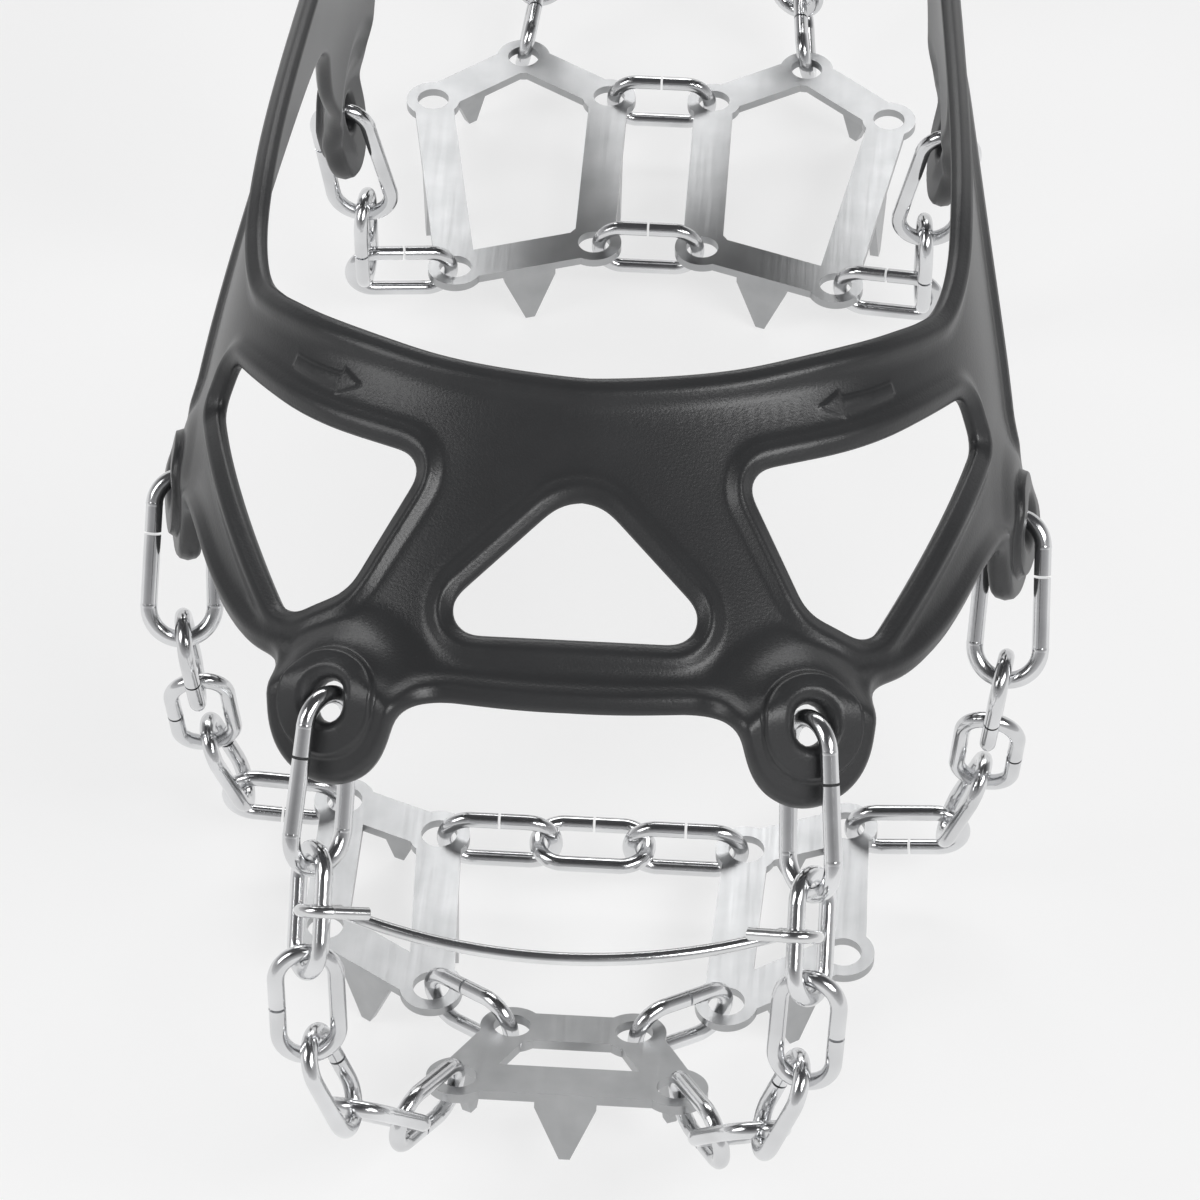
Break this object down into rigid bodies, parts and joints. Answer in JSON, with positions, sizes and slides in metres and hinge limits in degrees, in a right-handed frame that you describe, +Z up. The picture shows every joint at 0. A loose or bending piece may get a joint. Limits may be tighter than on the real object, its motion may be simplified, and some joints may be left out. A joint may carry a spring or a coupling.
{
  "type": "microspikes",
  "caption": "Traction device for one boot: a stretch rubber harness with eyelets, wire chains and stamped spike plates under the sole, with a wire bar over the toe",
  "frame": {"origin": "middle of the flat plane that the sole of the shoe stands on, midway between toe and heel and on the plane of symmetry", "axes": "+Z up out of the shoe, -Y towards the toe, +X to the right of the wearer, symmetric about X = 0"},
  "size_m": [0.1338, 0.2914, 0.1187],
  "materials": {
    "harness_rubber": "fine grain, semi matte",
    "wire_steel": "polished stainless wire",
    "plate_steel": "satin stamped stainless sheet"
  },
  "bodies": {
    "ball_cross_link_left": {"ball_cross_link_left": "wire_steel"},
    "ball_cross_link_middle": {"ball_cross_link_middle": "wire_steel"},
    "ball_cross_link_right": {"ball_cross_link_right": "wire_steel"},
    "ball_plate_left": {"ball_plate_left": "plate_steel"},
    "ball_plate_right": {"ball_plate_right": "plate_steel"},
    "front_link_a_left": {"front_link_a_left": "wire_steel"},
    "front_link_a_right": {"front_link_a_right": "wire_steel"},
    "front_link_b_left": {"front_link_b_left": "wire_steel"},
    "front_link_b_right": {"front_link_b_right": "wire_steel"},
    "front_link_c_left": {"front_link_c_left": "wire_steel"},
    "front_link_c_right": {"front_link_c_right": "wire_steel"},
    "front_link_d_left": {"front_link_d_left": "wire_steel"},
    "front_link_d_right": {"front_link_d_right": "wire_steel"},
    "front_link_e_left": {"front_link_e_left": "wire_steel"},
    "front_link_e_right": {"front_link_e_right": "wire_steel"},
    "front_link_f_left": {"front_link_f_left": "wire_steel"},
    "front_link_f_right": {"front_link_f_right": "wire_steel"},
    "harness": {"harness": "harness_rubber"},
    "heel_back_link_a_left": {"heel_back_link_a_left": "wire_steel"},
    "heel_back_link_a_right": {"heel_back_link_a_right": "wire_steel"},
    "heel_back_link_b_left": {"heel_back_link_b_left": "wire_steel"},
    "heel_back_link_b_right": {"heel_back_link_b_right": "wire_steel"},
    "heel_back_link_c_left": {"heel_back_link_c_left": "wire_steel"},
    "heel_back_link_c_right": {"heel_back_link_c_right": "wire_steel"},
    "heel_cross_link_front": {"heel_cross_link_front": "wire_steel"},
    "heel_cross_link_rear": {"heel_cross_link_rear": "wire_steel"},
    "heel_plate_left": {"heel_plate_left": "plate_steel"},
    "heel_plate_right": {"heel_plate_right": "plate_steel"},
    "heel_side_link_a_left": {"heel_side_link_a_left": "wire_steel"},
    "heel_side_link_a_right": {"heel_side_link_a_right": "wire_steel"},
    "heel_side_link_b_left": {"heel_side_link_b_left": "wire_steel"},
    "heel_side_link_b_right": {"heel_side_link_b_right": "wire_steel"},
    "heel_side_link_c_left": {"heel_side_link_c_left": "wire_steel"},
    "heel_side_link_c_right": {"heel_side_link_c_right": "wire_steel"},
    "side_link_a_left": {"side_link_a_left": "wire_steel"},
    "side_link_a_right": {"side_link_a_right": "wire_steel"},
    "side_link_b_left": {"side_link_b_left": "wire_steel"},
    "side_link_b_right": {"side_link_b_right": "wire_steel"},
    "side_link_c_left": {"side_link_c_left": "wire_steel"},
    "side_link_c_right": {"side_link_c_right": "wire_steel"},
    "side_link_d_left": {"side_link_d_left": "wire_steel"},
    "side_link_d_right": {"side_link_d_right": "wire_steel"},
    "side_link_e_left": {"side_link_e_left": "wire_steel"},
    "side_link_e_right": {"side_link_e_right": "wire_steel"},
    "toe_ball_link_left": {"toe_ball_link_left": "wire_steel"},
    "toe_ball_link_right": {"toe_ball_link_right": "wire_steel"},
    "toe_bar": {"toe_bar": "wire_steel"},
    "toe_plate": {"toe_plate": "plate_steel"}
  },
  "joints": [
    {"name": "ball_cross_link_middle_turn", "type": "hinge", "parent": "harness", "child": "ball_cross_link_middle", "pos_m": [0, -0.05719, -0.0062], "axis": [1, -0.0001, 0.0001], "range_deg": [-4, 4]},
    {"name": "ball_cross_link_right_turn", "type": "hinge", "parent": "harness", "child": "ball_cross_link_right", "pos_m": [0.01425, -0.05715, -0.00624], "axis": [1, -0.0001, -0.0001], "range_deg": [-4, 4]},
    {"name": "ball_cross_link_left_turn", "type": "hinge", "parent": "harness", "child": "ball_cross_link_left", "pos_m": [-0.01425, -0.05715, -0.00624], "axis": [-1, -0.0001, -0.0001], "range_deg": [-4, 4]},
    {"name": "ball_plate_right_lift", "type": "slide", "parent": "harness", "child": "ball_plate_right", "axis": [0, 0, 1], "range_m": [-0.00015, 0.0006]},
    {"name": "ball_plate_left_lift", "type": "slide", "parent": "harness", "child": "ball_plate_left", "axis": [0, 0, 1], "range_m": [-0.00015, 0.0006]},
    {"name": "front_link_a_right_turn", "type": "hinge", "parent": "harness", "child": "front_link_a_right", "pos_m": [0.03331, -0.11316, 0.06439], "axis": [-0.0585, 0.5768, 0.8148], "range_deg": [-4, 2]},
    {"name": "front_link_a_left_turn", "type": "hinge", "parent": "harness", "child": "front_link_a_left", "pos_m": [-0.03331, -0.11316, 0.06439], "axis": [0.0585, 0.5768, 0.8148], "range_deg": [-2, 4]},
    {"name": "front_link_b_right_turn", "type": "hinge", "parent": "harness", "child": "front_link_b_right", "pos_m": [0.03436, -0.12439, 0.05076], "axis": [0, 0.7249, 0.6889], "range_deg": [-4, 4]},
    {"name": "front_link_b_left_turn", "type": "hinge", "parent": "harness", "child": "front_link_b_left", "pos_m": [-0.03436, -0.12439, 0.05076], "axis": [0, 0.7249, 0.6889], "range_deg": [-4, 4]},
    {"name": "front_link_c_right_turn", "type": "hinge", "parent": "harness", "child": "front_link_c_right", "pos_m": [0.03438, -0.13089, 0.03874], "axis": [0.04, 0.2502, 0.9674], "range_deg": [-4, 4]},
    {"name": "front_link_c_left_turn", "type": "hinge", "parent": "harness", "child": "front_link_c_left", "pos_m": [-0.03438, -0.13089, 0.03874], "axis": [-0.04, 0.2502, 0.9674], "range_deg": [-4, 4]},
    {"name": "front_link_d_right_turn", "type": "hinge", "parent": "harness", "child": "front_link_d_right", "pos_m": [0.03127, -0.13314, 0.02522], "axis": [0.3201, 0, 0.9474], "range_deg": [-4, 4]},
    {"name": "front_link_d_left_turn", "type": "hinge", "parent": "harness", "child": "front_link_d_left", "pos_m": [-0.03127, -0.13314, 0.02522], "axis": [-0.3201, 0, 0.9474], "range_deg": [-4, 4]},
    {"name": "front_link_e_right_turn", "type": "hinge", "parent": "harness", "child": "front_link_e_right", "pos_m": [0.02552, -0.12895, 0.01346], "axis": [0.456, -0.49, 0.743], "range_deg": [-4, 4]},
    {"name": "front_link_e_left_turn", "type": "hinge", "parent": "harness", "child": "front_link_e_left", "pos_m": [-0.02552, -0.12895, 0.01346], "axis": [-0.456, -0.49, 0.743], "range_deg": [-4, 4]},
    {"name": "front_link_f_right_turn", "type": "hinge", "parent": "harness", "child": "front_link_f_right", "pos_m": [0.01952, -0.11983, 0.00511], "axis": [-0.4022, 0.8416, -0.3605], "range_deg": [-4, 4]},
    {"name": "front_link_f_left_turn", "type": "hinge", "parent": "harness", "child": "front_link_f_left", "pos_m": [-0.01952, -0.11983, 0.00511], "axis": [0.4022, 0.8416, -0.3605], "range_deg": [-4, 4]},
    {"name": "heel_back_link_a_right_turn", "type": "hinge", "parent": "harness", "child": "heel_back_link_a_right", "pos_m": [0.02231, 0.14695, 0.02225], "axis": [-0.0371, -0.0329, 0.9988], "range_deg": [-4, 4]},
    {"name": "heel_back_link_a_left_turn", "type": "hinge", "parent": "harness", "child": "heel_back_link_a_left", "pos_m": [-0.02231, 0.14695, 0.02225], "axis": [0.0371, -0.0329, 0.9988], "range_deg": [-4, 4]},
    {"name": "heel_back_link_b_right_turn", "type": "hinge", "parent": "harness", "child": "heel_back_link_b_right", "pos_m": [0.02264, 0.14692, 0.00452], "axis": [0, 0.0499, 0.9988], "range_deg": [-4, 4]},
    {"name": "heel_back_link_b_left_turn", "type": "hinge", "parent": "harness", "child": "heel_back_link_b_left", "pos_m": [-0.02264, 0.14692, 0.00452], "axis": [0, 0.0499, 0.9988], "range_deg": [-4, 4]},
    {"name": "heel_back_link_c_right_turn", "type": "hinge", "parent": "harness", "child": "heel_back_link_c_right", "pos_m": [0.02455, 0.1405, -0.00468], "axis": [-0.0787, 0.9845, 0.1566], "range_deg": [-4, 3]},
    {"name": "heel_back_link_c_left_turn", "type": "hinge", "parent": "harness", "child": "heel_back_link_c_left", "pos_m": [-0.02455, 0.1405, -0.00468], "axis": [0.0787, 0.9845, 0.1566], "range_deg": [-3, 4]},
    {"name": "heel_cross_link_front_turn", "type": "hinge", "parent": "harness", "child": "heel_cross_link_front", "pos_m": [0, 0.0823, -0.00624], "axis": [1, -0.0001, -0.0001], "range_deg": [-4, 4]},
    {"name": "heel_cross_link_rear_turn", "type": "hinge", "parent": "harness", "child": "heel_cross_link_rear", "pos_m": [0, 0.12173, -0.00624], "axis": [1, -0.0001, -0.0001], "range_deg": [-4, 4]},
    {"name": "heel_plate_right_lift", "type": "slide", "parent": "harness", "child": "heel_plate_right", "axis": [0, 0, 1], "range_m": [-0.0003, 0.0006]},
    {"name": "heel_plate_left_lift", "type": "slide", "parent": "harness", "child": "heel_plate_left", "axis": [0, 0, 1], "range_m": [-0.0003, 0.0006]},
    {"name": "heel_side_link_a_right_turn", "type": "hinge", "parent": "harness", "child": "heel_side_link_a_right", "pos_m": [0.04863, 0.06882, 0.02127], "axis": [0.1721, -0.0877, 0.9812], "range_deg": [-4, 4]},
    {"name": "heel_side_link_a_left_turn", "type": "hinge", "parent": "harness", "child": "heel_side_link_a_left", "pos_m": [-0.04863, 0.06882, 0.02127], "axis": [-0.1721, -0.0877, 0.9812], "range_deg": [-4, 4]},
    {"name": "heel_side_link_b_right_turn", "type": "hinge", "parent": "harness", "child": "heel_side_link_b_right", "pos_m": [0.04709, 0.07024, 0.00371], "axis": [0, -0.0499, 0.9988], "range_deg": [-4, 4]},
    {"name": "heel_side_link_b_left_turn", "type": "hinge", "parent": "harness", "child": "heel_side_link_b_left", "pos_m": [-0.04709, 0.07024, 0.00371], "axis": [0, -0.0499, 0.9988], "range_deg": [-4, 4]},
    {"name": "heel_side_link_c_right_turn", "type": "hinge", "parent": "harness", "child": "heel_side_link_c_right", "pos_m": [0.04153, 0.07249, -0.00534], "axis": [0.9757, -0.1951, 0.0995], "range_deg": [-4, 4]},
    {"name": "heel_side_link_c_left_turn", "type": "hinge", "parent": "harness", "child": "heel_side_link_c_left", "pos_m": [-0.04153, 0.07249, -0.00534], "axis": [-0.9757, -0.1951, 0.0995], "range_deg": [-4, 4]},
    {"name": "side_link_a_right_turn", "type": "hinge", "parent": "harness", "child": "side_link_a_right", "pos_m": [0.06085, -0.05282, 0.04656], "axis": [0.0138, 0.5655, 0.8246], "range_deg": [-4, 4]},
    {"name": "side_link_a_left_turn", "type": "hinge", "parent": "harness", "child": "side_link_a_left", "pos_m": [-0.06085, -0.05282, 0.04656], "axis": [-0.0138, 0.5655, 0.8246], "range_deg": [-4, 4]},
    {"name": "side_link_b_right_turn", "type": "hinge", "parent": "harness", "child": "side_link_b_right", "pos_m": [0.05984, -0.05833, 0.03105], "axis": [0.0602, -0.2007, 0.9778], "range_deg": [-4, 4]},
    {"name": "side_link_b_left_turn", "type": "hinge", "parent": "harness", "child": "side_link_b_left", "pos_m": [-0.05984, -0.05833, 0.03105], "axis": [-0.0602, -0.2007, 0.9778], "range_deg": [-4, 4]},
    {"name": "side_link_c_right_turn", "type": "hinge", "parent": "harness", "child": "side_link_c_right", "pos_m": [0.059, -0.05549, 0.01711], "axis": [0.0503, -0.2007, 0.9784], "range_deg": [-4, 4]},
    {"name": "side_link_c_left_turn", "type": "hinge", "parent": "harness", "child": "side_link_c_left", "pos_m": [-0.059, -0.05549, 0.01711], "axis": [-0.0503, -0.2007, 0.9784], "range_deg": [-4, 4]},
    {"name": "side_link_d_right_turn", "type": "hinge", "parent": "harness", "child": "side_link_d_right", "pos_m": [0.05623, -0.05288, 0.00351], "axis": [0.3005, -0.1503, 0.9419], "range_deg": [-4, 4]},
    {"name": "side_link_d_left_turn", "type": "hinge", "parent": "harness", "child": "side_link_d_left", "pos_m": [-0.05623, -0.05288, 0.00351], "axis": [-0.3005, -0.1503, 0.9419], "range_deg": [-4, 4]},
    {"name": "side_link_e_right_turn", "type": "hinge", "parent": "harness", "child": "side_link_e_right", "pos_m": [0.04794, -0.05161, -0.00518], "axis": [0.9916, -0.0495, 0.1197], "range_deg": [-4, 4]},
    {"name": "side_link_e_left_turn", "type": "hinge", "parent": "harness", "child": "side_link_e_left", "pos_m": [-0.04794, -0.05161, -0.00518], "axis": [-0.9916, -0.0495, 0.1197], "range_deg": [-4, 4]},
    {"name": "toe_ball_link_right_turn", "type": "hinge", "parent": "harness", "child": "toe_ball_link_right", "pos_m": [0.01551, -0.09364, -0.00388], "axis": [0.7327, 0.6267, -0.2654], "range_deg": [-4, 4]},
    {"name": "toe_ball_link_left_turn", "type": "hinge", "parent": "harness", "child": "toe_ball_link_left", "pos_m": [-0.01551, -0.09364, -0.00388], "axis": [-0.7327, 0.6267, -0.2654], "range_deg": [-4, 4]},
    {"name": "toe_plate_rock", "type": "hinge", "parent": "harness", "child": "toe_plate", "pos_m": [0, -0.1126, 0.0018], "axis": [1, 0, 0], "range_deg": [-2, 2]},
    {"name": "toe_bar_slide", "type": "slide", "parent": "harness", "child": "toe_bar", "axis": [0, 0.7249, 0.6889], "range_m": [-0.0025, 0.0025]}
  ]
}
